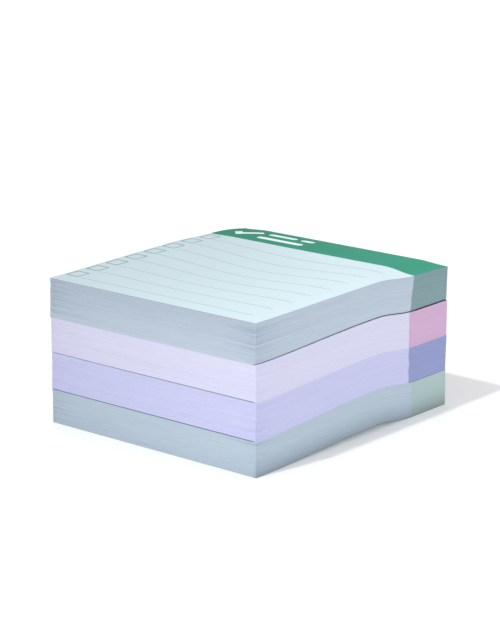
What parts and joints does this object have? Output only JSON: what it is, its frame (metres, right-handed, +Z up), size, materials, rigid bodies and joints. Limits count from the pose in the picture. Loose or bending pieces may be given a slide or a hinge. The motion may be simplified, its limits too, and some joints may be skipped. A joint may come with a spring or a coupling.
{
  "type": "sticky note pad",
  "caption": "Block of sticky notes in four stacked coloured pads, with a printed header band, tick boxes and ruled lines on the top sheet.",
  "frame": {"origin": "middle of the block's footprint, on the surface it rests on", "axes": "+X along the header edge, +Y from the free edge to the header edge, +Z up out of the top sheet"},
  "size_m": [0.0766, 0.0808, 0.0421],
  "materials": {
    "aqua_paper": "uncoated matt paper, stacked cut edges",
    "pale_lilac_paper": "uncoated matt paper, stacked cut edges",
    "periwinkle_paper": "uncoated matt paper, stacked cut edges",
    "green_tinted_edge": "cut edges of sheets printed green",
    "pink_tinted_edge": "cut edges of sheets printed pink",
    "violet_tinted_edge": "cut edges of sheets printed violet",
    "mint_tinted_edge": "cut edges of sheets printed mint",
    "green_ink": "flat printed green on matt paper",
    "white_heading": "unprinted pale paper inside the green header",
    "tick_box_ink": "thin printed outline on matt paper",
    "rule_ink": "faint printed rule on matt paper"
  },
  "bodies": {
    "root": {"top_pad": "aqua_paper", "second_pad": "pale_lilac_paper", "third_pad": "periwinkle_paper", "bottom_pad": "aqua_paper", "top_pad_header_edge": "green_tinted_edge", "second_pad_header_edge": "pink_tinted_edge", "third_pad_header_edge": "violet_tinted_edge", "bottom_pad_header_edge": "mint_tinted_edge", "header_print": "green_ink", "heading_mark": "white_heading", "tick_boxes": "tick_box_ink", "rule_lines": "rule_ink"}
  },
  "joints": []
}
